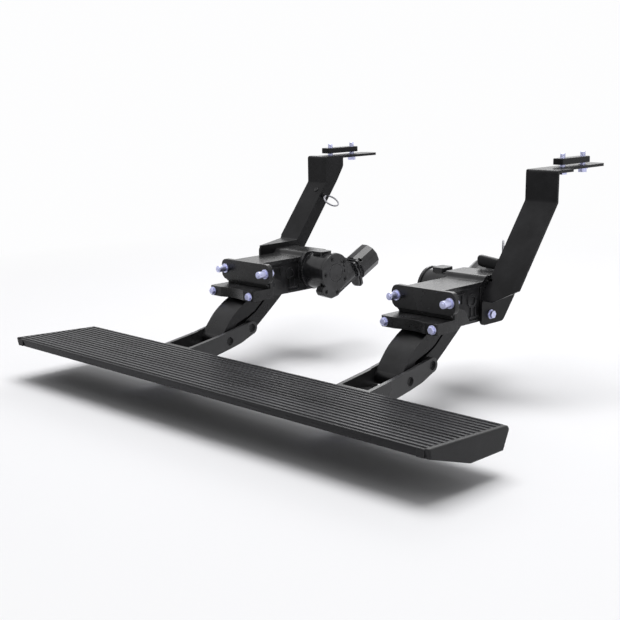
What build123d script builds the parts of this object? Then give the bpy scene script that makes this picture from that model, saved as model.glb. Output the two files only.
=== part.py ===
from build123d import *
from math import cos, hypot, radians, sin
import os

# Electric side step: a ribbed board carried by two folding link mechanisms, each driven by
# its own gear motor through a crank and rod, hung on two brackets under a vehicle's sill.
# Side views are drawn inboard (local x) and up (local y) from the lower inner pivot.

os.makedirs("parts", exist_ok=True)

# Where the mechanisms stand
LINKAGE_SPACING = 440.0        # between the two mechanisms' centre planes

# Linkage: one parallelogram, seen from the side
PIVOT_PITCH_Y = 57.0           # from rear pivot to drive pivot, outboard
PIVOT_PITCH_Z = 16.5           # ... and down
LINK_RISE_Y = 109.0            # lower pivot to upper pivot, inboard
LINK_RISE_Z = 93.0             # ... and up
LINK_LENGTH = hypot(LINK_RISE_Y, LINK_RISE_Z)
REAR_LOW = (0.0, 0.0)
DRIVE_LOW = (-PIVOT_PITCH_Y, -PIVOT_PITCH_Z)
REAR_UP = (LINK_RISE_Y, LINK_RISE_Z)
DRIVE_UP = (LINK_RISE_Y - PIVOT_PITCH_Y, LINK_RISE_Z - PIVOT_PITCH_Z)

PIN_R = 6.0
PIN_FIT = 0.02                 # pin in its fixed seat
BUSH_CLEARANCE = 0.05          # pin in its bush
BUSH_WALL = 1.45
BUSH_R = PIN_R + BUSH_CLEARANCE + BUSH_WALL
BUSH_LENGTH = 12.0
BUSH_FLANGE_R = 10.0
BUSH_FLANGE = 1.2

LINK_HALF = 27.5
DRIVE_LOW_HUB_R = 15.0
DRIVE_UP_HUB_R = 14.0
REAR_LOW_HUB_R = 12.0
REAR_UP_HUB_R = 15.0

# Crank and rod
ROD_LENGTH = 54.5              # also the distance from the rear upper pivot to the crank
CRANK_RADIUS = 28.0
CRANK_AXIS = (REAR_UP[0] + ROD_LENGTH, REAR_UP[1])
LINK_UNIT = (LINK_RISE_Y / LINK_LENGTH, LINK_RISE_Z / LINK_LENGTH)
ROD_PIN = (REAR_UP[0] - CRANK_RADIUS * LINK_UNIT[0], REAR_UP[1] - CRANK_RADIUS * LINK_UNIT[1])
CRANK_PIN = (ROD_PIN[0] + ROD_LENGTH, ROD_PIN[1])
ROD_HALF = 6.0
ROD_SLOT_HALF = 6.6
ROD_EYE_R = 8.5
ROD_BODY_HALF = 5.5
ROD_PIN_R = 4.5
ROD_SLOT_LENGTH = 69.0
ROD_SLOT_RAKE = 24.0           # the slot's lower end leans back by this much
CUT_OVER = 40.0                # reach of a cut past the walls it opens
CRANK_WEB = 6.0
CRANK_SHAFT_R = 9.0
CRANK_HUB_R = 13.0

# Fork
FORK_HALF = 36.0
FORK_NOSE_R = 12.8
FORK_BAY_HALF = 30.0
FORK_POCKET_HALF = 28.0
FORK_BAY_END = -80.0
FORK_BAY_FLOOR = -31.0         # low enough for the drive link's front face when folded
HUB_GAP = 2.2                  # floor round the drive link's lower hub
PIN_MOUTH_R = 8.0              # open recess outside each lower pin
PIN_MOUTH_DEPTH = 2.6
BOARD_UNDERSIDE = -44.6
FOOT_THICK = 7.0

# Housing
CHEEK_OUT = 39.0
CHEEK_IN = 33.0
BOSS_IN = 29.2
BOSS_R = 12.0
HOUSING_TOP = 122.0
TOP_PLATE = 4.5
CHEEK_FOOT = 54.5
PLATE_FRONT = 18.0
PLATE_THICK = 9.0
PLATE_HALF = 68.0
PLATE_FOOT = 83.0
PLATE_CORNER_R = 12.0
NECK_HALF = 60.0
NECK_BACK = 35.0
NECK_STEP_INSET = 2.0
BAR_FRONT = -20.0
BAR_TOP = 75.0
BAR_FOOT = 56.0
SCALLOP_R = 89.0
SCALLOP_DEPTH = 6.0
RAISED_TOP = 131.0
COVER_DEPTH = 4.0
COVER_SHEET = 1.4
COVER_RIB = 2.3
COVER_GAP = 0.3
COVER_RING = (103.0, 93.0)

# Fasteners (size 8)
BOLT_R = 4.0
BOLT_HOLE_R = 4.4
FLANGE_R = 8.0
FLANGE_THICK = 1.8
HEX_ACROSS = 13.0
HEAD_HEIGHT = 5.4
UPPER_STUD_X = 57.0
UPPER_STUD_Z = 104.0
UPPER_STUD_TIP = -3.0
NUT_BARREL_R = 6.6
NUT_FLANGE_R = 9.0
NUT_FLANGE = 2.4
NUT_LENGTH = 19.8
LOWER_BOLT_X = 51.0
LOWER_BOLT_Z = 65.0

# Gearbox and motor
GEARBOX_R = 36.0
GEARBOX_END = 97.0
COVER_R = 38.0
COVER_END = 103.0
COVER_GROOVE_R = 18.6
COVER_GROOVE = 1.4
MOTOR_X = 73.0
MOTOR_TILT = 26.0
MOTOR_BASE = (244.0, 85.5)
MOTOR_R = 25.6
MOTOR_LENGTH = 56.0
MOTOR_FLANGE = 5.0
WORM_R = 15.0
WORM_LENGTH = 78.0
PAD_X = 70.0
PAD_TOP = 133.5
MOTOR_FACETS = 12

# Brackets
SHEET = 5.0
BEND_R = 7.0
TOP_BEND_R = 5.6
TOP_FLANGE_EDGE = 80.0         # outer edge of the top flange beyond the bracket's side
TOP_FLANGE_STEP = 303.0        # ... which starts here, seen from the side
FLANGE_TOP = 305.4
FLANGE_TIP = 450.0
CLAMP_X = 65.0
CLAMP_Y = (327.0, 393.0)       # clamp bolts, from the lower inner pivot
CLAMP_GAP = 4.6
CLAMP_THICK = 11.0
CLAMP_WIDTH = 20.0
CLAMP_OUTER_END = 17.0         # bar beyond its outboard bolt
CLAMP_INNER_END = 10.0         # ... and beyond its inboard bolt
CLAMP_SPAN = (CLAMP_Y[0] - CLAMP_OUTER_END, CLAMP_Y[1] + CLAMP_INNER_END)
BRACKET_BOLT = (146.0, 64.5)
CLIP_SPOT = {"left": (279.0, 225.0), "right": (204.0, 146.0)}
CLIP_STEM_R = 3.0
CLAMP_BOLT_TIP = 329.5
CLAMP_BOLT_R = 5.0             # in the bar's thread
CLAMP_STUD_R = 4.6             # free end above the bar
CLAMP_HOLE_R = 5.4
CLAMP_SLOT = 18.0
CLAMP_FLANGE_R = 10.0
CLAMP_HEX_ACROSS = 15.0
CLAMP_HEAD_HEIGHT = 6.4
RING_R = 20.5
RING_WIRE_R = 1.5
RING_WIRE_X = 8.1              # ring's wire from the side flange

# Board
BOARD_LEFT = -470.0
BOARD_RIGHT = 523.0
BOARD_TILT = 2.5
BOARD_BACK = (-158.2, -10.2)   # upper back corner, side view
BOARD_DEPTH = 181.0
CAP_THICK = 8.0
CAP_SKIRT = 22.0
CAP_PLUG = 14.0
PLUG_FIT = 0.25
WALL = 2.5
RIB_COUNT = 15
RIB_EDGE = 9.3                 # board's edge to the first rib's middle
RIB_PITCH = (BOARD_DEPTH - 2 * RIB_EDGE) / (RIB_COUNT - 1)
RIB_WIDTH = 5.4
RIB_HEIGHT = 1.6
SLOT_Y = (-190.0, -228.0)      # bolt slots in the underside
SLOT_MOUTH = 8.6
SLOT_WIDTH = 15.0
SLOT_DEPTH = 9.0
FOOT_BOLT_X = 22.0
NOSE_BACK = 3.2                # front face leans back by this much
NOSE_DEEP = 14.6

# Origin: centre of the clamp bolts, on the clamp bars' upper faces
DATUM_Y = -(CLAMP_Y[0] + CLAMP_Y[1]) / 2
DATUM_Z = -(FLANGE_TOP + CLAMP_GAP + CLAMP_THICK)


def side_plane(x):
    """Plane of a side view at x: local x inboard, local y up, normal towards +X."""
    return Plane(origin=(x, DATUM_Y, DATUM_Z), x_dir=(0, 1, 0), z_dir=(1, 0, 0))


def front_plane(x, y):
    """Plane of a front view: local x to the right, local y up, normal outboard."""
    return Plane(origin=(x, DATUM_Y + y, DATUM_Z), x_dir=(1, 0, 0), z_dir=(0, -1, 0))


def top_plane(x, z):
    """Plane of a top view: local x to the right, local y inboard, normal up."""
    return Plane(origin=(x, DATUM_Y, DATUM_Z + z), x_dir=(1, 0, 0), z_dir=(0, 0, 1))


def board_plane(x):
    """Plane across the board at x: local x outboard along the tread, local y up from it."""
    tilt = radians(BOARD_TILT)
    return Plane(origin=(x, DATUM_Y + BOARD_BACK[0], DATUM_Z + BOARD_BACK[1]),
                 x_dir=(0, -cos(tilt), sin(tilt)), z_dir=(-1, 0, 0))


def on_board(y, z):
    """Side view point to board coordinates."""
    tilt = radians(BOARD_TILT)
    dy, dz = y - BOARD_BACK[0], z - BOARD_BACK[1]
    return (-dy * cos(tilt) + dz * sin(tilt), dy * sin(tilt) + dz * cos(tilt))


def corners(points):
    """Closed outline from (x, y, corner radius) points, as lines for the open sketch."""
    FilletPolyline(*[(p[0], p[1]) for p in points], radius=[p[2] for p in points], close=True)


def keep(builder, name):
    """Label a finished piece and write its file."""
    builder.part.label = name
    export_step(builder.part, f"parts/{name}.step")


# Running board
UNDER_FRONT = on_board(-248.0, BOARD_UNDERSIDE)
UNDER_BACK = on_board(-174.6, BOARD_UNDERSIDE)
NOSE = (BOARD_DEPTH - NOSE_BACK, -NOSE_DEEP)
BOARD_OUTLINE = [
    (0.0, -RIB_HEIGHT, 4.0), (BOARD_DEPTH, -RIB_HEIGHT, 1.5), (NOSE[0], NOSE[1], 1.5),
    (UNDER_FRONT[0], UNDER_FRONT[1], 12.0), (UNDER_BACK[0], UNDER_BACK[1], 2.0),
]
CAP_OUTLINE = [(0.0, 0.0, 6.0), (BOARD_DEPTH, 0.0, 2.0)] + BOARD_OUTLINE[2:]
WEB_U = (44.0, 86.0, 128.0)
EXTRUSION_LEFT = BOARD_LEFT + CAP_THICK
EXTRUSION_RIGHT = BOARD_RIGHT - CAP_THICK
EXTRUSION_LENGTH = EXTRUSION_RIGHT - EXTRUSION_LEFT
SLOT_TOP = BOARD_UNDERSIDE + SLOT_DEPTH

with BuildPart() as running_board:
    with BuildSketch(board_plane(EXTRUSION_RIGHT)):
        with BuildLine():
            corners(BOARD_OUTLINE)
        make_face()
        with Locations((BOARD_DEPTH / 2, -RIB_HEIGHT / 2)):
            with GridLocations(RIB_PITCH, 0, RIB_COUNT, 1):
                Trapezoid(RIB_WIDTH, RIB_HEIGHT + 0.2, 65)
    extrude(amount=EXTRUSION_LENGTH)
    # chambers between the webs
    with BuildSketch(board_plane(EXTRUSION_RIGHT)):
        with BuildLine():
            corners(BOARD_OUTLINE)
        make_face()
        offset(amount=-WALL, kind=Kind.INTERSECTION, mode=Mode.REPLACE)
        with Locations(*[(u, -22) for u in WEB_U]):
            Rectangle(WALL, 60, mode=Mode.SUBTRACT)
    extrude(amount=EXTRUSION_LENGTH, mode=Mode.SUBTRACT)
    # bolt slots, each with its own box of walls
    with BuildSketch(side_plane(EXTRUSION_LEFT)):
        with Locations(*[(y, BOARD_UNDERSIDE + (SLOT_DEPTH + WALL) / 2) for y in SLOT_Y]):
            Rectangle(SLOT_WIDTH + 2 * WALL, SLOT_DEPTH + WALL)
    extrude(amount=EXTRUSION_LENGTH)
    with BuildSketch(side_plane(EXTRUSION_LEFT)):
        with Locations(*[(y, SLOT_TOP - (SLOT_DEPTH - WALL) / 2) for y in SLOT_Y]):
            Rectangle(SLOT_WIDTH, SLOT_DEPTH - WALL)
        with Locations(*[(y, BOARD_UNDERSIDE) for y in SLOT_Y]):
            Rectangle(SLOT_MOUTH, 2 * WALL + 1)
    extrude(amount=EXTRUSION_LENGTH, mode=Mode.SUBTRACT)
    # shallow seats for the end caps' front skirts
    for seat_x in (EXTRUSION_RIGHT, EXTRUSION_LEFT + CAP_SKIRT - CAP_THICK):
        with BuildSketch(board_plane(seat_x)):
            with Locations((BOARD_DEPTH - 0.4, -8.4)):
                Rectangle(3.0, 11.4)
        extrude(amount=CAP_SKIRT - CAP_THICK, mode=Mode.SUBTRACT)
keep(running_board, "running_board")

for cap_name, cap_x, inward in (("right_end_cap", BOARD_RIGHT, 1), ("left_end_cap", BOARD_LEFT, -1)):
    face_x = cap_x - inward * CAP_THICK
    with BuildPart() as end_cap:
        with BuildSketch(board_plane(cap_x)):
            with BuildLine():
                corners(CAP_OUTLINE)
            make_face()
        extrude(amount=inward * CAP_THICK)
        outer_face = end_cap.faces().sort_by(Axis.X)[-1 if inward > 0 else 0]
        fillet(outer_face.edges(), radius=3.0)
        # plug that fills the chambers' mouths, hollow itself
        with BuildSketch(board_plane(face_x)):
            with BuildLine():
                corners(BOARD_OUTLINE)
            make_face()
            offset(amount=-WALL - PLUG_FIT, kind=Kind.INTERSECTION, mode=Mode.REPLACE)
            with Locations(*[(u, -22) for u in WEB_U]):
                Rectangle(WALL + 2 * PLUG_FIT, 60, mode=Mode.SUBTRACT)
            with Locations(*[on_board(y, BOARD_UNDERSIDE + SLOT_DEPTH / 2) for y in SLOT_Y]):
                Rectangle(SLOT_WIDTH + 2 * WALL + 2, SLOT_DEPTH + 2 * WALL + 4, mode=Mode.SUBTRACT)
        extrude(amount=inward * CAP_PLUG)
        # skirt along the front face
        with BuildSketch(board_plane(face_x)):
            with Locations((BOARD_DEPTH - 0.9, -8.4)):
                Rectangle(1.6, 11.0)
        extrude(amount=inward * (CAP_SKIRT - CAP_THICK - PLUG_FIT))
    keep(end_cap, cap_name)


# The two mechanisms
def disc(plane, centre, radius, start, length, mode=Mode.ADD):
    """Round solid along the plane's normal, from start over length."""
    with BuildSketch(plane.offset(start)) as profile:
        with Locations(centre):
            Circle(radius)
    extrude(profile.sketch, amount=length, mode=mode)


def through(plane, centre, radius, half, mode=Mode.SUBTRACT):
    """Round solid or hole, even on both sides of the plane."""
    with BuildSketch(plane) as profile:
        with Locations(centre):
            Circle(radius)
    extrude(profile.sketch, amount=half, both=True, mode=mode)


def slab(plane, points, half, mode=Mode.ADD):
    """Outline of (x, y, corner radius) points, even on both sides of the plane."""
    with BuildSketch(plane) as profile:
        with BuildLine():
            corners(points)
        make_face()
    extrude(profile.sketch, amount=half, both=True, mode=mode)


def plate(plane, points, start, length, mode=Mode.ADD):
    """Outline of (x, y, corner radius) points, from start over length along the normal."""
    with BuildSketch(plane.offset(start)) as profile:
        with BuildLine():
            corners(points)
        make_face()
    extrude(profile.sketch, amount=length, mode=mode)


FORK_OUTLINE = [
    (-2.0, 12.6, 0.0), (-47.0, 4.0, 60.0), (-85.0, -3.6, 60.0), (-158.9, -14.1, 0.0),
    (-174.2, BOARD_UNDERSIDE, 0.0), (-243.0, BOARD_UNDERSIDE, 2.0),
    (-243.0, BOARD_UNDERSIDE - FOOT_THICK, 3.0), (-135.0, BOARD_UNDERSIDE - FOOT_THICK, 30.0),
    (-90.0, -38.0, 60.0), (-57.0, -31.5, 60.0), (-27.0, -24.5, 60.0), (8.0, -10.0, 0.0),
]
DRIVE_OUTLINE = [
    (-71.6, -13.0, 0.0), (-62.0, 4.0, 60.0), (-41.0, 29.0, 100.0), (-9.0, 50.5, 100.0),
    (20.0, 60.0, 60.0), (38.0, 71.5, 25.0), (44.0, 87.8, 0.0), (64.6, 70.4, 0.0),
    (38.7, 49.6, 30.0), (14.9, 30.2, 40.0), (-2.8, 21.9, 40.0), (-17.6, 16.9, 30.0),
    (-34.0, 11.0, 8.0), (-43.0, -11.0, 0.0),
]
REAR_OUTLINE = [
    (7.6, -9.2, 0.0), (20.0, -0.5, 40.0), (42.0, 15.6, 60.0), (83.0, 47.0, 60.0),
    (120.6, 83.6, 0.0), (97.6, 102.6, 0.0), (74.0, 74.6, 30.0), (55.3, 58.4, 30.0),
    (41.3, 46.4, 30.0), (17.1, 26.8, 40.0), (-1.2, 18.1, 20.0), (-9.5, 13.0, 6.0),
    (-11.9, 0.0, 0.0),
]
HOUSING_OUTLINE = [
    (12.0, CHEEK_FOOT, 2.0), (12.0, 70.0, 0.0), (30.0, 70.0, 0.0), (24.0, HOUSING_TOP, 0.0),
    (131.0, HOUSING_TOP, 8.0), (138.0, RAISED_TOP, 8.0), (198.0, RAISED_TOP, 8.0), (203.0, 112.0, 4.0),
    (203.0, 66.0, 6.0), (192.0, CHEEK_FOOT, 6.0),
]
NECK_STEPS = [
    (28.0, 86.0, 0.0), (19.6, 86.0, 0.0), (19.6, 81.4, 0.6), (22.2, 80.6, 0.4), (22.2, 78.8, 0.4),
    (24.8, 78.0, 0.4), (24.8, 76.2, 0.4), (28.0, 75.4, 0.0),
]
CAVITY_OUTLINE = [
    (-4.0, 50.0, 0.0), (-4.0, BAR_FOOT, 0.0), (20.0, 63.0, 6.0), (35.0, 74.0, 6.0),
    (35.0, HOUSING_TOP - TOP_PLATE, 3.0), (197.0, HOUSING_TOP - TOP_PLATE, 3.0),
    (197.0, 50.0, 0.0),
]
LUG_OUTLINE = [
    (130.0, 68.0, 0.0), (124.5, 60.0, 4.0), (130.0, 51.0, 6.0), (151.0, 43.0, 8.0),
    (172.0, 47.0, 7.0), (180.0, 62.0, 0.0), (160.0, 70.0, 0.0),
]
COVER_OUTLINE = [
    (52.0, 100.0, 3.0), (61.0, 88.0, 4.0), (83.0, 79.0, 4.0), (95.0, 59.0, 2.0),
    (124.0, 59.0, 3.0), (124.0, 115.0, 3.0), (49.0, 115.0, 3.0),
]

for side_name, side in (("left", -1), ("right", 1)):
    xc = side * LINKAGE_SPACING / 2
    motor_side = -side
    middle = side_plane(xc)

    # Fork under the board: two plates, open bay for the links, pocket, foot
    with BuildPart() as fork:
        slab(middle, FORK_OUTLINE, FORK_HALF)
        through(middle, REAR_LOW, FORK_NOSE_R, FORK_HALF, Mode.ADD)
        slab(middle, [(DRIVE_LOW[0], -60, 0), (20, -60, 0), (20, 30, 0), (FORK_BAY_END, 30, 0),
                      (FORK_BAY_END, FORK_BAY_FLOOR, 0), (DRIVE_LOW[0], FORK_BAY_FLOOR, 0)],
             FORK_BAY_HALF, Mode.SUBTRACT)
        through(middle, DRIVE_LOW, DRIVE_LOW_HUB_R + HUB_GAP, FORK_BAY_HALF)
        slab(middle, [(FORK_BAY_END - 4, FORK_BAY_FLOOR, 0), (-150, -23, 6), (-153, 10, 0),
                      (FORK_BAY_END + 1, 10, 0), (FORK_BAY_END + 1, -33, 0)],
             FORK_POCKET_HALF, Mode.SUBTRACT)
        for pivot in (REAR_LOW, DRIVE_LOW):
            through(middle, pivot, PIN_R + PIN_FIT, FORK_HALF + 1)
            for s in (-1, 1):
                disc(middle, pivot, PIN_MOUTH_R, s * FORK_HALF, -s * PIN_MOUTH_DEPTH, Mode.SUBTRACT)
        with BuildSketch(top_plane(xc, BOARD_UNDERSIDE)):
            with Locations(*[(s * FOOT_BOLT_X, y) for s in (-1, 1) for y in SLOT_Y]):
                Circle(BOLT_HOLE_R)
        extrude(amount=-FOOT_THICK - 1, mode=Mode.SUBTRACT)
        # hollow underneath, between the plates
        slab(middle, [(-96, -60, 0), (-96, -42, 6), (-160, -34, 6), (-168, -44, 2), (-168, -60, 0)],
             FORK_POCKET_HALF, Mode.SUBTRACT)
    keep(fork, f"{side_name}_fork")

    with BuildPart() as fork_bolts:
        for y in SLOT_Y:
            for s in (-1, 1):
                up = Plane(origin=(xc + s * FOOT_BOLT_X, DATUM_Y + y, DATUM_Z + BOARD_UNDERSIDE))
                disc(up, (0, 0), BOLT_R, -FOOT_THICK, FOOT_THICK + WALL + 3.4)
                disc(up, (0, 0), FLANGE_R, -FOOT_THICK - FLANGE_THICK, FLANGE_THICK)
                with BuildSketch(up.offset(-FOOT_THICK - FLANGE_THICK)):
                    RegularPolygon(HEX_ACROSS / 2, 6, major_radius=False)
                extrude(amount=-HEAD_HEIGHT)
                with BuildSketch(up.offset(WALL)):
                    Rectangle(14.0, 14.0)
                extrude(amount=4.4)
    keep(fork_bolts, f"{side_name}_fork_bolts")

    # Drive link: wide, with a curved front face
    with BuildPart() as drive_link:
        slab(middle, DRIVE_OUTLINE, LINK_HALF)
        through(middle, DRIVE_LOW, DRIVE_LOW_HUB_R, LINK_HALF, Mode.ADD)
        through(middle, DRIVE_UP, DRIVE_UP_HUB_R, LINK_HALF, Mode.ADD)
        for pivot in (DRIVE_LOW, DRIVE_UP):
            through(middle, pivot, BUSH_R, LINK_HALF + 1)
    keep(drive_link, f"{side_name}_drive_link")

    # Rear link: nested behind it, slotted at the top for the rod
    with BuildPart() as rear_link:
        slab(middle, REAR_OUTLINE, LINK_HALF)
        through(middle, REAR_LOW, REAR_LOW_HUB_R, LINK_HALF, Mode.ADD)
        through(middle, REAR_UP, REAR_UP_HUB_R, LINK_HALF, Mode.ADD)
        for pivot in (REAR_LOW, REAR_UP):
            through(middle, pivot, BUSH_R, LINK_HALF + 1)
        through(middle, ROD_PIN, ROD_PIN_R + PIN_FIT, 20.0)
        slot_plane = Plane(origin=(xc, DATUM_Y + REAR_UP[0], DATUM_Z + REAR_UP[1]),
                           x_dir=(0, LINK_UNIT[0], LINK_UNIT[1]), z_dir=(1, 0, 0))
        slab(slot_plane, [(-ROD_SLOT_LENGTH, -CUT_OVER, 0), (30, -CUT_OVER, 0), (30, CUT_OVER, 0),
                          (-ROD_SLOT_LENGTH + ROD_SLOT_RAKE, CUT_OVER, 0)], ROD_SLOT_HALF, Mode.SUBTRACT)
    keep(rear_link, f"{side_name}_rear_link")

    # Flanged bushes, one at each end of each bore
    for link_name, pivots in (("drive", (DRIVE_LOW, DRIVE_UP)), ("rear", (REAR_LOW, REAR_UP))):
        with BuildPart() as bushes:
            for pivot in pivots:
                for s in (-1, 1):
                    disc(middle, pivot, BUSH_R, s * LINK_HALF, -s * BUSH_LENGTH)
                    disc(middle, pivot, BUSH_FLANGE_R, s * LINK_HALF, s * BUSH_FLANGE)
                through(middle, pivot, PIN_R + BUSH_CLEARANCE, LINK_HALF + 5)
        keep(bushes, f"{side_name}_{link_name}_link_bushes")

    # Pivot pins
    with BuildPart() as lower_pins:
        for pivot in (DRIVE_LOW, REAR_LOW):
            through(middle, pivot, PIN_R, FORK_HALF - 3.4, Mode.ADD)
        chamfer(lower_pins.edges().filter_by(GeomType.CIRCLE), length=0.6)
    keep(lower_pins, f"{side_name}_lower_pins")

    with BuildPart() as upper_pins:
        through(middle, DRIVE_UP, PIN_R, CHEEK_OUT - 0.5, Mode.ADD)
        through(middle, REAR_UP, PIN_R, CHEEK_OUT - COVER_DEPTH - 0.2, Mode.ADD)
        chamfer(upper_pins.edges().filter_by(GeomType.CIRCLE), length=0.6)
    keep(upper_pins, f"{side_name}_upper_pins")

    # Crank, rod and their pins
    web_out = ROD_SLOT_HALF + CRANK_WEB
    with BuildPart() as crank:
        for s in (-1, 1):
            with BuildSketch(middle.offset(s * ROD_SLOT_HALF)):
                with BuildLine():
                    corners([(CRANK_AXIS[0], CRANK_AXIS[1] + 9, 0), (CRANK_AXIS[0] + 9, CRANK_AXIS[1], 0),
                             (CRANK_PIN[0] + 5.6, CRANK_PIN[1] - 5.6, 0),
                             (CRANK_PIN[0] - 5.6, CRANK_PIN[1] + 5.6, 0)])
                make_face()
                with Locations(CRANK_AXIS):
                    Circle(CRANK_HUB_R)
                with Locations(CRANK_PIN):
                    Circle(ROD_EYE_R)
            extrude(amount=s * CRANK_WEB)
            disc(middle, CRANK_AXIS, CRANK_SHAFT_R, s * web_out, s * (CHEEK_OUT - 1.0 - web_out))
        through(middle, CRANK_PIN, ROD_PIN_R + PIN_FIT, 20.0)
        # tongue of the output shaft, in the gearbox's end
        with BuildSketch(middle.offset(motor_side * (CHEEK_OUT - 1.0))):
            with Locations(CRANK_AXIS):
                RegularPolygon(6.0, 6, major_radius=False)
        extrude(amount=motor_side * 12.0)
    keep(crank, f"{side_name}_crank")

    with BuildPart() as crank_pin:
        through(middle, CRANK_PIN, ROD_PIN_R, web_out + 0.6, Mode.ADD)
        chamfer(crank_pin.edges().filter_by(GeomType.CIRCLE), length=0.5)
    keep(crank_pin, f"{side_name}_crank_pin")

    with BuildPart() as rod_pin:
        through(middle, ROD_PIN, ROD_PIN_R, 19.0, Mode.ADD)
    keep(rod_pin, f"{side_name}_rod_pin")

    with BuildPart() as drive_rod:
        with BuildSketch(middle):
            with Locations(((ROD_PIN[0] + CRANK_PIN[0]) / 2, ROD_PIN[1])):
                Rectangle(ROD_LENGTH, 2 * ROD_BODY_HALF)
            with Locations(ROD_PIN, CRANK_PIN):
                Circle(ROD_EYE_R)
        extrude(amount=ROD_HALF, both=True)
        for pivot in (ROD_PIN, CRANK_PIN):
            through(middle, pivot, ROD_PIN_R + BUSH_CLEARANCE, ROD_HALF + 1)
    keep(drive_rod, f"{side_name}_drive_rod")

    # Housing
    with BuildPart() as housing:
        slab(middle, HOUSING_OUTLINE, CHEEK_OUT)
        # lower bar with a scalloped front
        with BuildSketch(top_plane(xc, BAR_FOOT)):
            with BuildLine():
                corners([(-NECK_HALF, BAR_FRONT, 4.0), (-NECK_HALF, NECK_BACK, 0.0),
                         (NECK_HALF, NECK_BACK, 0.0), (NECK_HALF, BAR_FRONT, 4.0)])
            make_face()
            with Locations((3.0, BAR_FRONT + SCALLOP_DEPTH - SCALLOP_R)):
                Circle(SCALLOP_R, mode=Mode.SUBTRACT)
        extrude(amount=BAR_TOP - BAR_FOOT)
        # neck between bar and front plate
        with BuildSketch(front_plane(xc, PLATE_FRONT + PLATE_THICK)):
            with Locations((0, (BAR_FOOT + PLATE_FOOT + 12) / 2)):
                Rectangle(2 * NECK_HALF, PLATE_FOOT + 12 - BAR_FOOT)
        extrude(amount=-(NECK_BACK - PLATE_FRONT - PLATE_THICK))
        # front plate
        with BuildSketch(front_plane(xc, PLATE_FRONT)):
            with BuildLine():
                corners([(-PLATE_HALF, HOUSING_TOP, PLATE_CORNER_R),
                         (PLATE_HALF, HOUSING_TOP, PLATE_CORNER_R),
                         (PLATE_HALF, PLATE_FOOT + 7, 12.0), (NECK_HALF, PLATE_FOOT, 3.0),
                         (-NECK_HALF, PLATE_FOOT, 3.0), (-PLATE_HALF, PLATE_FOOT + 7, 12.0)])
            make_face()
        extrude(amount=-PLATE_THICK)
        # stepped underside between plate and neck
        slab(middle, NECK_STEPS, NECK_HALF - NECK_STEP_INSET)
        # cavity for links, crank and rod, open below
        slab(middle, CAVITY_OUTLINE, CHEEK_IN, Mode.SUBTRACT)
        for pivot in (DRIVE_UP, REAR_UP):
            for s in (-1, 1):
                disc(middle, pivot, BOSS_R, s * CHEEK_IN, -s * (CHEEK_IN - BOSS_IN))
            through(middle, pivot, PIN_R + PIN_FIT, CHEEK_OUT + 1)
        through(middle, CRANK_AXIS, CRANK_SHAFT_R + BUSH_CLEARANCE, CHEEK_OUT + 1)
        # windows for the side covers
        for s in (-1, 1):
            plate(middle, COVER_OUTLINE, s * CHEEK_OUT, -s * COVER_DEPTH, Mode.SUBTRACT)
        with BuildSketch(front_plane(xc, PLATE_FRONT)):
            with Locations(*[(s * UPPER_STUD_X, UPPER_STUD_Z) for s in (-1, 1)]):
                Circle(BOLT_HOLE_R)
        extrude(amount=-PLATE_THICK, mode=Mode.SUBTRACT)
        with BuildSketch(front_plane(xc, BAR_FRONT)):
            with Locations(*[(s * LOWER_BOLT_X, LOWER_BOLT_Z) for s in (-1, 1)]):
                Circle(BOLT_R + PIN_FIT)
        extrude(amount=-32.0, mode=Mode.SUBTRACT)
        # hole for the bracket's bolt, in the cheek away from the motor
        disc(middle, BRACKET_BOLT, BOLT_R + PIN_FIT, side * CHEEK_OUT, -side * 6.0, Mode.SUBTRACT)
    keep(housing, f"{side_name}_housing")

    # Side covers with ribs and a round hub
    with BuildPart() as pivot_covers:
        for s in (-1, 1):
            with BuildSketch(middle.offset(s * (CHEEK_OUT - COVER_DEPTH))):
                with BuildLine():
                    corners(COVER_OUTLINE)
                make_face()
                offset(amount=-COVER_GAP, mode=Mode.REPLACE)
            extrude(amount=s * COVER_SHEET)
            with BuildSketch(middle.offset(s * (CHEEK_OUT - COVER_DEPTH + COVER_SHEET))):
                with Locations(COVER_RING):
                    Circle(12.0)
                    Circle(8.0, mode=Mode.SUBTRACT)
                with Locations((76.0, 101.0), (100.0, 72.0), (112.0, 72.0)):
                    Rectangle(1.6, 20.0)
                with Locations((70.0, 108.0), (108.0, 64.0)):
                    Rectangle(26.0, 1.6)
            extrude(amount=s * COVER_RIB)
    keep(pivot_covers, f"{side_name}_pivot_covers")

    # Fasteners in the housing's front
    with BuildPart() as upper_studs:
        for s in (-1, 1):
            out = front_plane(xc + s * UPPER_STUD_X, PLATE_FRONT)
            disc(out, (0, UPPER_STUD_Z), BOLT_R, -PLATE_THICK, PLATE_THICK + PLATE_FRONT - UPPER_STUD_TIP)
            disc(out, (0, UPPER_STUD_Z), FLANGE_R, -PLATE_THICK - FLANGE_THICK, FLANGE_THICK)
            with BuildSketch(out.offset(-PLATE_THICK - FLANGE_THICK)):
                with Locations((0, UPPER_STUD_Z)):
                    RegularPolygon(HEX_ACROSS / 2, 6, major_radius=False)
            extrude(amount=-HEAD_HEIGHT)
        tips = upper_studs.edges().filter_by(GeomType.CIRCLE).group_by(Axis.Y)[0]
        chamfer(tips, length=0.8)
    keep(upper_studs, f"{side_name}_upper_studs")

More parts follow.
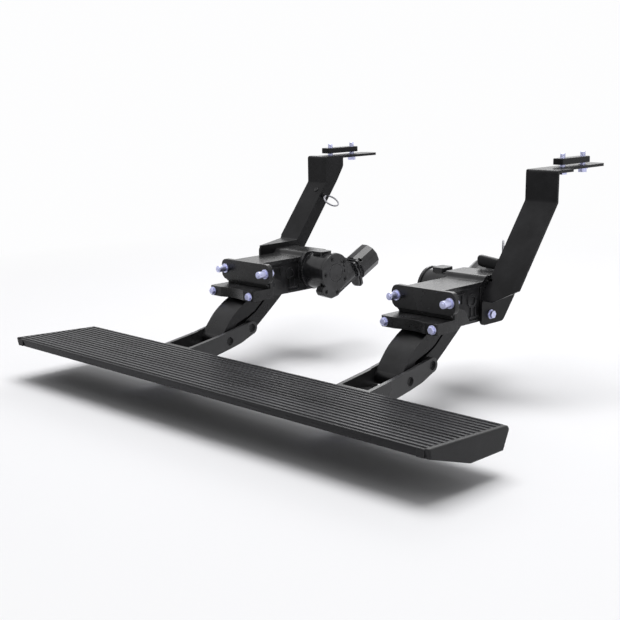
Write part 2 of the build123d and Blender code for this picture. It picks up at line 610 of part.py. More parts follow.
    with BuildPart() as upper_nuts:
        for s in (-1, 1):
            out = front_plane(xc + s * UPPER_STUD_X, PLATE_FRONT)
            disc(out, (0, UPPER_STUD_Z), NUT_FLANGE_R, 0.0, NUT_FLANGE)
            disc(out, (0, UPPER_STUD_Z), NUT_BARREL_R, NUT_FLANGE, NUT_LENGTH - NUT_FLANGE)
        fillet(upper_nuts.edges().filter_by(GeomType.CIRCLE).group_by(Axis.Y)[0], radius=0.8)
        for s in (-1, 1):
            out = front_plane(xc + s * UPPER_STUD_X, PLATE_FRONT)
            disc(out, (0, UPPER_STUD_Z), BOLT_R + PIN_FIT, 0.0, 30.0, Mode.SUBTRACT)
    keep(upper_nuts, f"{side_name}_upper_nuts")

    with BuildPart() as lower_bolts:
        for s in (-1, 1):
            out = front_plane(xc + s * LOWER_BOLT_X, BAR_FRONT)
            disc(out, (0, LOWER_BOLT_Z), BOLT_R, -30.0, 30.0)
            disc(out, (0, LOWER_BOLT_Z), FLANGE_R - 0.2, 0.0, FLANGE_THICK)
            with BuildSketch(out.offset(FLANGE_THICK)):
                with Locations((0, LOWER_BOLT_Z)):
                    RegularPolygon(HEX_ACROSS / 2 - 0.8, 6, major_radius=False)
            extrude(amount=HEAD_HEIGHT - 1.0)
        chamfer(lower_bolts.faces().sort_by(Axis.Y)[:2].edges(), length=0.9)
    keep(lower_bolts, f"{side_name}_lower_bolts")

    # Gearbox: round body on the cheek, tangential worm tube that carries the motor
    worm_plane = Plane(origin=(xc + motor_side * MOTOR_X, DATUM_Y + MOTOR_BASE[0], DATUM_Z + MOTOR_BASE[1]),
                       x_dir=(1, 0, 0), z_dir=(0, cos(radians(MOTOR_TILT)), sin(radians(MOTOR_TILT))))
    gear_face = middle.offset(motor_side * CHEEK_OUT)
    with BuildPart() as gearbox:
        disc(gear_face, CRANK_AXIS, GEARBOX_R, 0.0, motor_side * (GEARBOX_END - CHEEK_OUT))
        disc(gear_face, CRANK_AXIS, COVER_R, 0.0, motor_side * 7.0)
        plate(gear_face, [(124, 112, 6), (139, RAISED_TOP, 8), (196, RAISED_TOP, 8),
                          (206, 100, 6), (198, 60, 8), (150, 57, 8)], 0.0, motor_side * 7.0)
        disc(worm_plane, (0, 0), WORM_R, 0.0, -WORM_LENGTH)
        disc(worm_plane, (0, 0), WORM_R - 4.0, 0.0, -WORM_LENGTH - 6.0)
        # web between the round body and the worm tube
        with BuildSketch(middle.offset(motor_side * (MOTOR_X - 13.0))) as web:
            with BuildLine():
                corners([(170, 60, 0), (183, 42, 0), (246, 74, 0), (236, 98, 6), (196, 112, 0)])
            make_face()
        extrude(web.sketch, amount=motor_side * 26.0)
        # three-lobed mouth for the motor's flange
        with BuildSketch(worm_plane.offset(-6.0)) as mouth:
            Circle(20.0)
            with BuildLine():
                corners([(-22, -22, 7), (22, -22, 7), (8, 36, 7), (-8, 36, 7)])
            make_face()
        extrude(mouth.sketch, amount=6.0)
        # lug for the end cover's lower screws
        plate(middle, LUG_OUTLINE, motor_side * (GEARBOX_END - 12.0), motor_side * 12.0)
        # breather pad on top of the round body
        with BuildSketch(top_plane(xc + motor_side * PAD_X, CRANK_AXIS[1])) as pad:
            with Locations((0, CRANK_AXIS[0] - 4.0)):
                RectangleRounded(26.0, 30.0, 5.0)
        extrude(pad.sketch, amount=PAD_TOP - CRANK_AXIS[1])
        # socket for the output shaft's tongue
        with BuildSketch(gear_face) as socket:
            with Locations(CRANK_AXIS):
                Circle(CRANK_SHAFT_R)
        extrude(socket.sketch, amount=motor_side * 14.0, mode=Mode.SUBTRACT)
    keep(gearbox, f"{side_name}_gearbox")

    screw_spots = [(CRANK_AXIS[0] + 29.5 * cos(radians(a)), CRANK_AXIS[1] + 29.5 * sin(radians(a)))
                   for a in (40.0, 112.0, 184.0, 328.0)] + [(136.0, 58.0), (166.0, 54.0)]
    cover_face = middle.offset(motor_side * GEARBOX_END)
    with BuildPart() as gearbox_cover:
        disc(cover_face, CRANK_AXIS, COVER_R, 0.0, motor_side * (COVER_END - GEARBOX_END))
        plate(cover_face, LUG_OUTLINE, 0.0, motor_side * (COVER_END - GEARBOX_END))
        outer = gearbox_cover.faces().sort_by(Axis.X)[-1 if motor_side > 0 else 0]
        chamfer(outer.edges(), length=1.0)
        # ring groove and shallow arcs round the centre
        with BuildSketch(middle.offset(motor_side * COVER_END)) as ring:
            with Locations(CRANK_AXIS):
                Circle(COVER_GROOVE_R)
                Circle(COVER_GROOVE_R - COVER_GROOVE, mode=Mode.SUBTRACT)
        extrude(ring.sketch, amount=-motor_side * 1.2, mode=Mode.SUBTRACT)
        with BuildSketch(middle.offset(motor_side * COVER_END)) as slots:
            with Locations(CRANK_AXIS):
                with PolarLocations(25.0, 3, start_angle=2.0, angular_range=72.0):
                    SlotOverall(7.0, 2.6, rotation=90)
        extrude(slots.sketch, amount=-motor_side * 2.0, mode=Mode.SUBTRACT)
        for spot in screw_spots:
            disc(middle, spot, 2.6, motor_side * (COVER_END + 1), -motor_side * 8.0, Mode.SUBTRACT)
            disc(middle, spot, 4.6, motor_side * (COVER_END + 1), -motor_side * 3.4, Mode.SUBTRACT)
    keep(gearbox_cover, f"{side_name}_gearbox_cover")

    with BuildPart() as cover_screws:
        for spot in screw_spots:
            with BuildSketch(middle.offset(motor_side * (COVER_END - 2.4))) as head:
                with Locations(spot):
                    Circle(4.2)
                    RegularPolygon(2.0, 6, major_radius=False, mode=Mode.SUBTRACT)
            extrude(head.sketch, amount=motor_side * 1.9)
            disc(middle, spot, 2.5, motor_side * (COVER_END - 2.4), -motor_side * 3.5)
    keep(cover_screws, f"{side_name}_cover_screws")

    # Motor: flange with three lugs, faceted case
    motor_bolts = ((-15.5, -15.5), (15.5, -15.5), (0.0, 29.0))
    with BuildPart() as motor_case:
        with BuildSketch(worm_plane) as flange:
            Circle(22.0)
            with BuildLine():
                corners([(-26, -24, 8), (26, -24, 8), (9, 40, 8), (-9, 40, 8)])
            make_face()
        extrude(flange.sketch, amount=MOTOR_FLANGE)
        with BuildSketch(worm_plane.offset(MOTOR_FLANGE)) as barrel:
            RegularPolygon(MOTOR_R, MOTOR_FACETS, rotation=180 / MOTOR_FACETS, major_radius=False)
        extrude(barrel.sketch, amount=MOTOR_LENGTH - MOTOR_FLANGE)
        end_face = motor_case.faces().sort_by(Axis.Y)[-1]
        chamfer(end_face.edges(), length=2.5)
        with BuildSketch(worm_plane.offset(MOTOR_LENGTH)) as boss:
            Circle(11.0)
        extrude(boss.sketch, amount=2.5)
        for spot in motor_bolts:
            disc(worm_plane, spot, 3.1, -1.0, MOTOR_FLANGE + 2.0, Mode.SUBTRACT)
            disc(worm_plane, spot, 5.4, MOTOR_FLANGE, 9.0, Mode.SUBTRACT)
    keep(motor_case, f"{side_name}_motor_case")

    with BuildPart() as motor_screws:
        for spot in motor_bolts:
            disc(worm_plane, spot, 3.0, 0.0, MOTOR_FLANGE)
            with BuildSketch(worm_plane.offset(MOTOR_FLANGE)) as head:
                with Locations(spot):
                    Circle(4.8)
                    RegularPolygon(2.3, 6, major_radius=False, mode=Mode.SUBTRACT)
            extrude(head.sketch, amount=3.6)
    keep(motor_screws, f"{side_name}_motor_screws")

    # Upper bracket: folded strip, side flange and ear
    right = side > 0
    fold_x = xc + (40.0 if right else -39.0)
    strip_wide = 65.0 if right else 52.0
    if right:
        strip = [(FLANGE_TIP, FLANGE_TOP), (251.0, FLANGE_TOP), (250.0, 252.0), (124.0, 92.0)]
        inner = [(128.0, 88.9), (254.7, 249.8), (255.8, FLANGE_TOP - SHEET), (FLANGE_TIP, FLANGE_TOP - SHEET)]
        ear = [(251.5, FLANGE_TOP - 1, 0), (250.5, 252.0, 4), (124.5, 92.0, 30), (121.5, 84.0, 20),
               (121.5, 47.5, 9), (183.0, 47.5, 12), (217.0, 88.0, 20), (233.0, 143.0, 60),
               (319.6, 254.6, 30), (338.5, 283.4, 10), (338.5, FLANGE_TOP - 1, 0)]
    else:
        strip = [(FLANGE_TIP, FLANGE_TOP), (285.0, FLANGE_TOP), (285.0, 252.0), (198.0, 141.0),
                 (98.0, 141.0)]
        inner = [(98.0, 136.0), (200.5, 136.0), (290.0, 250.2), (290.0, FLANGE_TOP - SHEET),
                 (FLANGE_TIP, FLANGE_TOP - SHEET)]
        ear = [(285.5, FLANGE_TOP - 1, 0), (285.5, 252.0, 4), (198.5, 140.5, 10), (95.5, 140.5, 10),
               (95.5, 47.5, 9), (165.0, 47.5, 12), (217.0, 122.0, 20), (319.6, 254.6, 30),
               (338.5, 283.4, 10), (338.5, FLANGE_TOP - 1, 0)]
    outer_radii = [0.0, TOP_BEND_R] + [BEND_R] * (len(strip) - 3) + [0.0]
    inner_radii = [0.0] + [BEND_R - SHEET] * (len(inner) - 3) + [TOP_BEND_R - SHEET, 0.0]
    outline = [(p[0], p[1], r) for p, r in zip(strip + inner, outer_radii + inner_radii)]
    fold_plane = side_plane(fold_x)
    with BuildPart() as upper_bracket:
        plate(fold_plane, outline, 0.0, side * strip_wide)
        plate(fold_plane, ear, 0.0, side * SHEET)
        if right:
            # lower end of the strip, cut off on a slant
            plate(front_plane(fold_x, 0.0), [(SHEET, 60, 0), (SHEET, 80, 0), (strip_wide + 1, 112, 0),
                                             (strip_wide + 1, 60, 0)], -60.0, -160.0, Mode.SUBTRACT)
        else:
            # horizontal gusset, cut off on a slant
            plate(top_plane(fold_x, 130.0), [(-SHEET, 80, 0), (-SHEET, 101, 0), (-strip_wide - 1, 207, 0),
                                             (-strip_wide - 1, 80, 0)], 0.0, 16.0, Mode.SUBTRACT)
        # top flange narrows beyond the strip
        edge_x = TOP_FLANGE_EDGE - abs(fold_x - xc)
        plate(top_plane(fold_x, FLANGE_TOP + 1), [
            (side * edge_x, FLANGE_TIP + 1, 0), (side * edge_x, TOP_FLANGE_STEP, 5),
            (side * (strip_wide + 1), TOP_FLANGE_STEP - 3, 0), (side * (strip_wide + 1), FLANGE_TIP + 1, 0)],
            0.0, -SHEET - 2, Mode.SUBTRACT)
        # rounded tip of the top flange, slots for the clamp bolts
        tip = upper_bracket.edges().filter_by(Axis.Z).group_by(Axis.Y)[-1]
        fillet(tip, radius=12.0)
        with BuildSketch(top_plane(xc + side * CLAMP_X, FLANGE_TOP)) as clamp_slots:
            with Locations(*[(0, y) for y in CLAMP_Y]):
                SlotOverall(CLAMP_SLOT, 2 * CLAMP_HOLE_R)
        extrude(clamp_slots.sketch, amount=-SHEET, mode=Mode.SUBTRACT)
        clip_spot = CLIP_SPOT[side_name]
        for spot, radius in ((BRACKET_BOLT, BOLT_HOLE_R), ((150.0, 121.0), 3.5),
                             (clip_spot, CLIP_STEM_R + 0.3)):
            disc(fold_plane, spot, radius, -side, side * (SHEET + 2), Mode.SUBTRACT)
    keep(upper_bracket, f"{side_name}_upper_bracket")

    with BuildPart() as bracket_bolt:
        outer_x = side * SHEET
        disc(fold_plane, BRACKET_BOLT, BOLT_R, outer_x, -side * (SHEET + 6.0))
        disc(fold_plane, BRACKET_BOLT, FLANGE_R, outer_x, side * FLANGE_THICK)
        with BuildSketch(fold_plane.offset(outer_x + side * FLANGE_THICK)) as head:
            with Locations(BRACKET_BOLT):
                RegularPolygon(HEX_ACROSS / 2 - 0.5, 6, major_radius=False)
        extrude(head.sketch, amount=side * HEAD_HEIGHT)
    keep(bracket_bolt, f"{side_name}_bracket_bolt")

    # Top clamp: bar over the flange, bolts from below
    clamp_x = xc + side * CLAMP_X
    bar_z = FLANGE_TOP + CLAMP_GAP
    with BuildPart() as clamp_bar:
        with BuildSketch(top_plane(clamp_x, bar_z)) as bar:
            with Locations((0, (CLAMP_SPAN[0] + CLAMP_SPAN[1]) / 2)):
                RectangleRounded(CLAMP_WIDTH, CLAMP_SPAN[1] - CLAMP_SPAN[0], 3.0)
        extrude(bar.sketch, amount=CLAMP_THICK)
        chamfer(clamp_bar.faces().sort_by(Axis.Z)[-1].edges(), length=1.0)
        with BuildSketch(top_plane(clamp_x, bar_z)) as holes:
            with Locations(*[(0, y) for y in CLAMP_Y]):
                Circle(CLAMP_BOLT_R + PIN_FIT)
        extrude(holes.sketch, amount=CLAMP_THICK, mode=Mode.SUBTRACT)
    keep(clamp_bar, f"{side_name}_clamp_bar")

    with BuildPart() as clamp_bolts:
        for y in CLAMP_Y:
            under = top_plane(clamp_x, FLANGE_TOP - SHEET)
            bar_top = SHEET + CLAMP_GAP + CLAMP_THICK
            disc(under, (0, y), CLAMP_BOLT_R, 0.0, bar_top)
            disc(under, (0, y), CLAMP_STUD_R, bar_top, CLAMP_BOLT_TIP - FLANGE_TOP + SHEET - bar_top)
            disc(under, (0, y), CLAMP_FLANGE_R, 0.0, -FLANGE_THICK)
            with BuildSketch(under.offset(-FLANGE_THICK)) as head:
                with Locations((0, y)):
                    RegularPolygon(CLAMP_HEX_ACROSS / 2, 6, major_radius=False)
            extrude(head.sketch, amount=-CLAMP_HEAD_HEIGHT)
        chamfer(clamp_bolts.edges().filter_by(GeomType.CIRCLE).group_by(Axis.Z)[-1], length=0.8)
    keep(clamp_bolts, f"{side_name}_clamp_bolts")

    # Harness fittings on the bracket's side flange
    with BuildPart() as tie_clip:
        disc(fold_plane, clip_spot, CLIP_STEM_R, 0.0, side * (SHEET + 2.0))
        disc(fold_plane, clip_spot, 4.6, side * (SHEET + 0.2), side * 1.6)
        disc(fold_plane, clip_spot, 6.5, 0.0, -side * 1.8)
        disc(fold_plane, clip_spot, CLIP_STEM_R, -side * 1.8, -side * (5.0 if right else 9.6))
        if not right:
            # eye for the ring
            with BuildSketch(front_plane(fold_x + RING_WIRE_X, clip_spot[0] + 5.0)) as eye:
                with Locations((0, clip_spot[1])):
                    Circle(RING_WIRE_R + 0.4)
            extrude(eye.sketch, amount=10.0, both=True, mode=Mode.SUBTRACT)
    keep(tie_clip, f"{side_name}_tie_clip")

    if right:
        with BuildPart() as plug_holder:
            with BuildSketch(front_plane(fold_x - 27.0, 200.0)) as tab:
                with Locations((-16.0, 146.0)):
                    RectangleRounded(39.0, 22.0, 4.5)
                with Locations((11.1, 146.0)):
                    Rectangle(18.2, 7.0)
            extrude(tab.sketch, amount=-8.0)
            chamfer(plug_holder.faces().sort_by(Axis.Y)[0].edges(), length=1.0)
        keep(plug_holder, "right_plug_holder")
    else:
        with BuildPart() as tie_ring:
            ring_x = fold_x + RING_WIRE_X + RING_R
            with BuildSketch(front_plane(ring_x, clip_spot[0])) as wire:
                with Locations((-RING_R, clip_spot[1])):
                    Circle(RING_WIRE_R)
            revolve(wire.sketch, axis=Axis((ring_x, DATUM_Y + clip_spot[0], 0), (0, 0, 1)))
        keep(tie_ring, "left_tie_ring")
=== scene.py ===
"""Looks of the electric side step: finishes for every piece, fine detail and a pale studio."""
from __future__ import annotations

import logging
import math
from dataclasses import dataclass, replace
from enum import Enum

import bmesh
import bpy
from mathutils import Euler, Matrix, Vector

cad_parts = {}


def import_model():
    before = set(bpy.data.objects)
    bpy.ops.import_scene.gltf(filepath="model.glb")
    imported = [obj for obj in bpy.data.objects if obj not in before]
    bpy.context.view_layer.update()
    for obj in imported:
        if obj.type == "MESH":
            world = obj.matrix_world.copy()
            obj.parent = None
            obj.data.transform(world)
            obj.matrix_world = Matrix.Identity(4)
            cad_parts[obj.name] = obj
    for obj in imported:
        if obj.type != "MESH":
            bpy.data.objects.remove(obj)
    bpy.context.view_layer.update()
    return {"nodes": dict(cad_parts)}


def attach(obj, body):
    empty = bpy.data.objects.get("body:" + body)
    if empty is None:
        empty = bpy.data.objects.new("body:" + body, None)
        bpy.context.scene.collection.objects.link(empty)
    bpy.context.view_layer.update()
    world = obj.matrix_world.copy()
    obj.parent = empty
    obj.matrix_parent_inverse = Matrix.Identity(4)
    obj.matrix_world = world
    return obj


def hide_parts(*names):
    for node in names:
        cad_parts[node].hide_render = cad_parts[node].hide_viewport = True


LOG = logging.getLogger("side_step")
PHOTO_PIXELS = 620.0
FOCAL_PIXELS = 1150.0
SENSOR_MM = 36.0

Colour = tuple[float, float, float]
Place = tuple[float, float, float]  # metres, or degrees about X, Y and Z
Span = tuple[float, float]  # two figures that belong together, often a low and a high end

STUDIO_WHITE = (0.985, 0.985, 0.99, 1.0)
DUST_COLOUR: Colour = (0.42, 0.41, 0.39)
NOISE_MIDDLE: Span = (0.3, 0.7)  # where most values of a noise texture lie
MOTTLE: Span = (0.0, 0.22)
BUMP_DISTANCE = 0.0004
WIRE_STEP = 30  # degrees between the points round a wire
ROUND_STEP = 12  # degrees between the points round a moulded piece

# The mechanisms' distance from the middle, and their axes as (Y, Z), in metres.
HALF_SPACING = 0.220
REAR_LOW = (-0.360, -0.321)
DRIVE_LOW = (-0.417, -0.3375)
CRANK_AXIS = (-0.1965, -0.228)


class Side(Enum):
    """The two link mechanisms, by the sign of their place along the board."""

    LEFT = -1
    RIGHT = 1

    @property
    def word(self) -> str:
        """Prefix of the side's pieces."""
        return self.name.lower()


class Grain(Enum):
    """Surface texture under a finish, as (noise scale per metre, stretch along X)."""

    ORANGE_PEEL = (900.0, 1.0)
    CAST = (520.0, 1.0)
    DRAWN = (700.0, 0.03)
    MOULDED = (2400.0, 1.0)
    TURNED = (1500.0, 0.2)


@dataclass(frozen=True)
class Finish:
    """One finish: its colours, gloss and texture.

    Attributes:
        name: Name of its material.
        base: Colour of the whole surface.
        mottle_and_highlight: Colour that the random mottle leans to, and the painted highlight
            along edges.
        roughness: Lowest and highest roughness.
        grain: Texture under it.
        relief: Strength of the texture's bump.
        metallic: Share of bare metal in it.
        edge_highlight: How far edges take that colour as a painted highlight.
        round_mm: Radius to which edges look softened, in millimetres.
        dust: Amount of dust on faces that look up.
        shine: Level of the mirror reflection.
    """

    name: str
    base: Colour
    # Second colour: tone of the random mottle, and also the painted highlight that edges take.
    mottle_and_highlight: Colour
    roughness: Span
    grain: Grain
    relief: float = 0.12
    metallic: float = 0.0
    # How far edges take the painted highlight.
    edge_highlight: float = 0.25
    round_mm: float = 0.6
    dust: float = 0.05
    shine: float = 0.5


# Bracket, link and fork carry one black coat in three shades: the darker brackets are painted
# shade and the lighter, glossier fork is painted light, for how much light reaches each.
BRACKET_COAT = Finish("bracket_coat", (0.0045, 0.0045, 0.0052), (0.050, 0.050, 0.054),
                      (0.26, 0.38), Grain.ORANGE_PEEL, relief=0.10, edge_highlight=0.55, round_mm=0.8,
                      dust=0.01, shine=0.13)
LINK_COAT = Finish("link_coat", (0.0070, 0.0070, 0.0078), (0.055, 0.055, 0.060), (0.24, 0.36),
                   Grain.ORANGE_PEEL, relief=0.10, edge_highlight=0.70, round_mm=0.8, dust=0.02, shine=0.24)
FORK_COAT = Finish("fork_coat", (0.0150, 0.0150, 0.0160), (0.075, 0.075, 0.080), (0.24, 0.36),
                   Grain.ORANGE_PEEL, relief=0.10, edge_highlight=0.70, round_mm=0.8, dust=0.02, shine=0.46)
CAST_COAT = Finish("cast_coat", (0.0065, 0.0065, 0.0072), (0.095, 0.095, 0.100), (0.20, 0.32),
                   Grain.CAST, relief=0.18, edge_highlight=0.75, round_mm=1.1, dust=0.02, shine=0.30)
GEAR_COAT = Finish("gear_coat", (0.0060, 0.0060, 0.0070), (0.150, 0.150, 0.158), (0.13, 0.24),
                   Grain.CAST, relief=0.10, edge_highlight=0.85, round_mm=0.8, dust=0.02, shine=0.38)
TREAD_COAT = Finish("tread_coat", (0.0040, 0.0040, 0.0046), (0.175, 0.175, 0.190), (0.22, 0.34),
                    Grain.DRAWN, relief=0.06, edge_highlight=1.0, round_mm=0.5, dust=0.01, shine=0.13)
CAP_PLASTIC = Finish("cap_plastic", (0.008, 0.008, 0.009), (0.040, 0.040, 0.042), (0.36, 0.48),
                     Grain.MOULDED, relief=0.14, edge_highlight=0.35, round_mm=0.8, dust=0.02, shine=0.22)
COVER_PLASTIC = Finish("cover_plastic", (0.0022, 0.0022, 0.0026), (0.20, 0.20, 0.21), (0.26, 0.40),
                       Grain.MOULDED, relief=0.12, edge_highlight=0.95, round_mm=0.4, dust=0.0, shine=0.10)
PALE_PLASTIC = Finish("pale_plastic", (0.30, 0.30, 0.33), (0.52, 0.52, 0.56), (0.30, 0.42),
                      Grain.MOULDED, relief=0.08, edge_highlight=0.10, round_mm=0.3)
ZINC = Finish("zinc_plate", (0.56, 0.58, 0.84), (0.80, 0.82, 0.96), (0.30, 0.44), Grain.TURNED,
              relief=0.08, metallic=0.85, edge_highlight=0.45, round_mm=0.4)
# Paler, less metallic copy of the zinc: painted light that lifts the threads, which otherwise
# shade dark.
ZINC_THREAD = replace(ZINC, name="zinc_thread", base=(0.64, 0.66, 0.88), roughness=(0.50, 0.62),
                      relief=0.02, metallic=0.30, edge_highlight=0.0, round_mm=0.02)
DARK_STEEL = Finish("dark_steel", (0.016, 0.016, 0.018), (0.10, 0.10, 0.105), (0.26, 0.40),
                    Grain.TURNED, relief=0.08, metallic=0.80, edge_highlight=0.40, round_mm=0.4)
BLACK_SCREW = Finish("black_screw", (0.005, 0.005, 0.006), (0.050, 0.050, 0.053), (0.24, 0.38),
                     Grain.TURNED, relief=0.06, edge_highlight=0.42, round_mm=0.3, shine=0.25)
BRONZE = Finish("bush_bronze", (0.20, 0.14, 0.065), (0.46, 0.34, 0.17), (0.30, 0.45), Grain.TURNED,
                relief=0.06, metallic=1.0, edge_highlight=0.30, round_mm=0.3)


class NodeTree:
    """Small helper that places and joins shader nodes.

    Args:
        tree: The node tree to fill.
    """

    def __init__(self, tree: bpy.types.NodeTree) -> None:
        """Keep the tree."""
        self.tree = tree

    @classmethod
    def inside(cls, owner: bpy.types.Material | bpy.types.World) -> NodeTree:
        """Open and empty the node tree of a material or world.

        Args:
            owner: The material or world.

        Returns:
            A helper on its tree.
        """
        owner.use_nodes = True
        owner.node_tree.nodes.clear()
        return cls(owner.node_tree)

    def add(self, kind: str, inputs: dict | None = None, **settings: object) -> bpy.types.Node:
        """Place a node.

        Args:
            kind: Blender's name for the node type.
            inputs: Values or sockets for its inputs, by name or index.
            settings: Properties to set on the node.

        Returns:
            The new node.
        """
        node = self.tree.nodes.new(kind)
        for key, value in settings.items():
            setattr(node, key, value)
        for key, value in (inputs or {}).items():
            if isinstance(value, bpy.types.NodeSocket):
                self.tree.links.new(value, node.inputs[key])
            else:
                node.inputs[key].default_value = value
        return node

    def maths(self, operation: str, *values: object) -> bpy.types.NodeSocket:
        """Output of a Math node on these values or sockets."""
        node = self.add("ShaderNodeMath", dict(enumerate(values)), operation=operation)
        return node.outputs[0]

    def blend(self, factor: object, first: object, second: object) -> bpy.types.NodeSocket:
        """Mix two colours.

        Args:
            factor: Share of the second, as a value or socket.
            first: Colour or socket.
            second: Colour or socket.

        Returns:
            The mixed colour.
        """
        node = self.add("ShaderNodeMix", data_type="RGBA")
        for index, value in ((0, factor), (6, first), (7, second)):
            if isinstance(value, bpy.types.NodeSocket):
                self.tree.links.new(value, node.inputs[index])
            elif index == 0:
                node.inputs[index].default_value = value
            else:
                node.inputs[index].default_value = (*value, 1.0)
        return node.outputs[2]

    def remap(self, value: bpy.types.NodeSocket, given: Span, wanted: Span
              ) -> bpy.types.NodeSocket:
        """Carry a value from one range to another, held at its ends.

        Args:
            value: The socket to read.
            given: Low and high end of the range it has.
            wanted: What these two become.

        Returns:
            The carried value.
        """
        node = self.add("ShaderNodeMapRange", {"Value": value, 1: given[0], 2: given[1],
                                               3: wanted[0], 4: wanted[1]})
        return node.outputs[0]

    def seen(self) -> bpy.types.NodeSocket:
        """Tell rays that show a surface from rays that only light it.

        Returns:
            One for camera, glossy and transmission rays, otherwise zero.
        """
        path = self.add("ShaderNodeLightPath")
        shown = self.maths("MAXIMUM", path.outputs["Is Camera Ray"], path.outputs["Is Glossy Ray"])
        return self.maths("MAXIMUM", shown, path.outputs["Is Transmission Ray"])

    def surface(self, shader: bpy.types.Node, kind: str = "ShaderNodeOutputMaterial") -> None:
        """Join a shader to the surface of a new output node of this kind."""
        end = self.add(kind)
        self.tree.links.new(shader.outputs[0], end.inputs["Surface"])


class SurfaceEffects:
    """Shader node groups that the finishes share: grain, softened edges with a painted highlight,
    and settled dust.
    """

    BROAD_SCALE = 26.0
    CLOUD_SCALE = 9.0
    PATCH_SCALE = 140.0
    DRIFT_SCALE = 60.0
    FINE_SHARE, BROAD_SHARE = 0.8, 0.2  # of the relief
    CLOUD_SHARE, MOTTLE_SHARE = 0.6, 0.4  # of the gloss
    EDGE_SAMPLES = 6
    EDGE_GAIN = 5.0
    PATCH_FLOOR = 0.35

    def __init__(self) -> None:
        """Make the three groups."""
        self.grain = self._grain()
        self.edges = self._edges()
        self.dust = self._dust()

    @staticmethod
    def _new(name: str, ins: dict[str, tuple[str, object]], outs: dict[str, str]
             ) -> tuple[bpy.types.NodeTree, NodeTree, bpy.types.Node, bpy.types.Node]:
        """Start a group with named sockets.

        Args:
            name: Name of the group.
            ins: Socket type and default value by input name.
            outs: Socket type by output name.

        Returns:
            The group, a helper on it, and its input and output nodes.
        """
        tree = bpy.data.node_groups.new(name, "ShaderNodeTree")
        for label, (kind, value) in ins.items():
            socket = tree.interface.new_socket(label, in_out="INPUT", socket_type=kind)
            socket.default_value = value
        for label, kind in outs.items():
            tree.interface.new_socket(label, in_out="OUTPUT", socket_type=kind)
        sheet = NodeTree(tree)
        return tree, sheet, sheet.add("NodeGroupInput"), sheet.add("NodeGroupOutput")

    def _grain(self) -> bpy.types.NodeTree:
        """Make fine relief over soft, larger unevenness of colour and gloss.

        Returns:
            The group.
        """
        tree, sheet, given, out = self._new(
            "coat_grain",
            {"Scale": ("NodeSocketFloat", 900.0), "Stretch": ("NodeSocketFloat", 1.0)},
            {"Height": "NodeSocketFloat", "Mottle": "NodeSocketFloat", "Gloss": "NodeSocketFloat"})
        place = sheet.add("ShaderNodeTexCoord").outputs["Object"]
        stretch = sheet.add("ShaderNodeCombineXYZ", {0: given.outputs["Stretch"], 1: 1.0, 2: 1.0})
        drawn = sheet.add("ShaderNodeVectorMath", {0: place, 1: stretch.outputs[0]},
                          operation="MULTIPLY").outputs[0]
        fine = sheet.add("ShaderNodeTexNoise", {"Vector": drawn, "Scale": given.outputs["Scale"],
                                                "Detail": 2.0, "Roughness": 0.55})
        broad = sheet.add("ShaderNodeTexNoise", {"Vector": drawn, "Scale": self.BROAD_SCALE,
                                                 "Detail": 4.0, "Roughness": 0.6})
        cloud = sheet.add("ShaderNodeTexNoise", {"Vector": place, "Scale": self.CLOUD_SCALE,
                                                 "Detail": 3.0})
        height = sheet.maths("ADD", sheet.maths("MULTIPLY", fine.outputs[0], self.FINE_SHARE),
                             sheet.maths("MULTIPLY", broad.outputs[0], self.BROAD_SHARE))
        gloss = sheet.maths("ADD", sheet.maths("MULTIPLY", cloud.outputs[0], self.CLOUD_SHARE),
                            sheet.maths("MULTIPLY", broad.outputs[0], self.MOTTLE_SHARE))
        tree.links.new(height, out.inputs["Height"])
        tree.links.new(broad.outputs[0], out.inputs["Mottle"])
        tree.links.new(gloss, out.inputs["Gloss"])
        return tree

    def _edges(self) -> bpy.types.NodeTree:
        """Make softened edges, and a mask for the painted highlight along them.

        Returns:
            The group.
        """
        tree, sheet, given, out = self._new(
            "soft_edges_and_highlight", {"Round": ("NodeSocketFloat", 0.0006)},
            {"Mask": "NodeSocketFloat", "Normal": "NodeSocketVector"})
        soft = sheet.add("ShaderNodeBevel", {"Radius": given.outputs["Round"]},
                         samples=self.EDGE_SAMPLES)
        flat = sheet.add("ShaderNodeNewGeometry").outputs["Normal"]
        facing = sheet.add("ShaderNodeVectorMath", {0: soft.outputs[0], 1: flat},
                           operation="DOT_PRODUCT").outputs["Value"]
        patchy = sheet.add("ShaderNodeTexNoise",
                           {"Vector": sheet.add("ShaderNodeTexCoord").outputs["Object"],
                            "Scale": self.PATCH_SCALE, "Detail": 4.0}).outputs[0]
        # Painted highlight: strong where the softened normal turns from the face, broken up by
        # noise.
        turned = sheet.maths("MULTIPLY", sheet.maths("SUBTRACT", 1.0, facing), self.EDGE_GAIN)
        mask = sheet.add("ShaderNodeMath",
                         {0: turned, 1: sheet.maths("ADD", patchy, self.PATCH_FLOOR)},
                         operation="MULTIPLY", use_clamp=True).outputs[0]
        tree.links.new(mask, out.inputs["Mask"])
        tree.links.new(soft.outputs[0], out.inputs["Normal"])
        return tree

    def _dust(self) -> bpy.types.NodeTree:
        """Make thin workshop dust on faces that look up.

        Returns:
            The group.
        """
        tree, sheet, given, out = self._new("settled_dust", {"Amount": ("NodeSocketFloat", 0.1)},
                                            {"Mask": "NodeSocketFloat"})
        normal = sheet.add("ShaderNodeNewGeometry").outputs["Normal"]
        upward = sheet.add("ShaderNodeSeparateXYZ", {0: normal}).outputs["Z"]
        place = sheet.add("ShaderNodeTexCoord").outputs["Object"]
        drift = sheet.add("ShaderNodeTexNoise", {"Vector": place, "Scale": self.DRIFT_SCALE,
                                                 "Detail": 6.0, "Roughness": 0.7}).outputs[0]
        lying = sheet.maths("MULTIPLY", sheet.maths("MAXIMUM", upward, 0.0), drift)
        tree.links.new(sheet.maths("MULTIPLY", lying, given.outputs["Amount"]), out.inputs["Mask"])
        return tree


